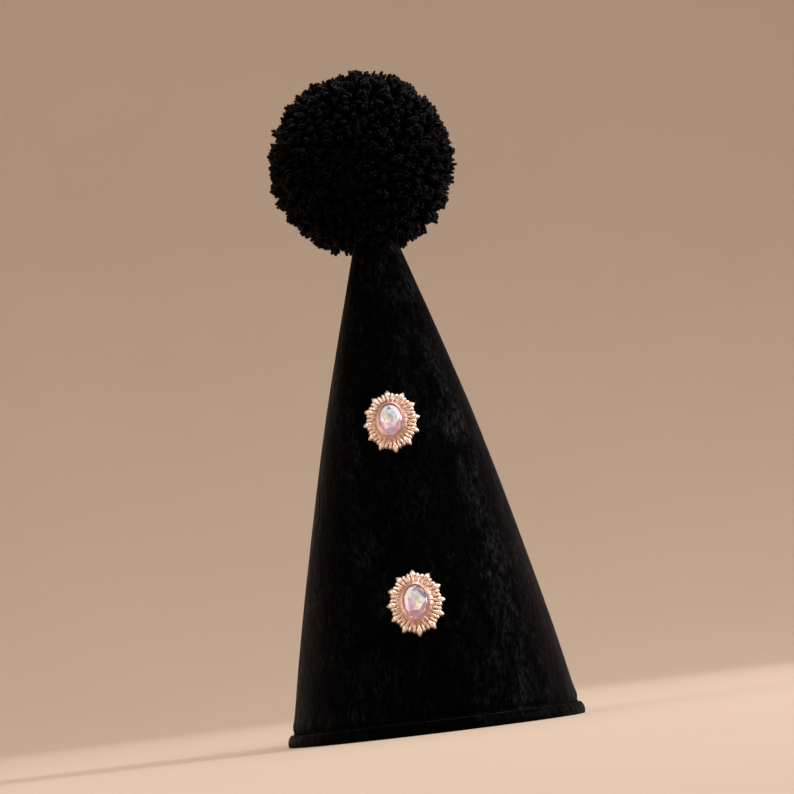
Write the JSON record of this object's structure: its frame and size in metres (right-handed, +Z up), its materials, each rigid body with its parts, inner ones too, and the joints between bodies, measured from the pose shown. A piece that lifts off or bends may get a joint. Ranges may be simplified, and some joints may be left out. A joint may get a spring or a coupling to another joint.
{
  "type": "party hat",
  "caption": "Tall velvet cone hat with an open base, a bound rim, a yarn pompom on its tip and jewelled sunburst buttons down the front.",
  "frame": {"origin": "the middle of the hat's mouth, at the height of the surface that its rim stands on", "axes": "+Z up towards the pompom, -Y towards the front where the buttons are, +X towards the viewer's right of the front"},
  "size_m": [0.1476, 0.1634, 0.3349],
  "materials": {
    "velvet": "black crushed velvet with a low sheen",
    "binding": "black velvet fold, flattened by its seam",
    "yarn": "cut black wool yarn",
    "rose_gold": "cast metal with a bright rose-gold plate",
    "stone": "faceted crystal with a foiled back and an opal coat"
  },
  "bodies": {
    "root": {"crown": "velvet", "rim_binding": "binding", "pompom": "yarn", "upper_setting": "rose_gold", "lower_setting": "rose_gold", "upper_stone": "stone", "lower_stone": "stone"}
  },
  "joints": []
}
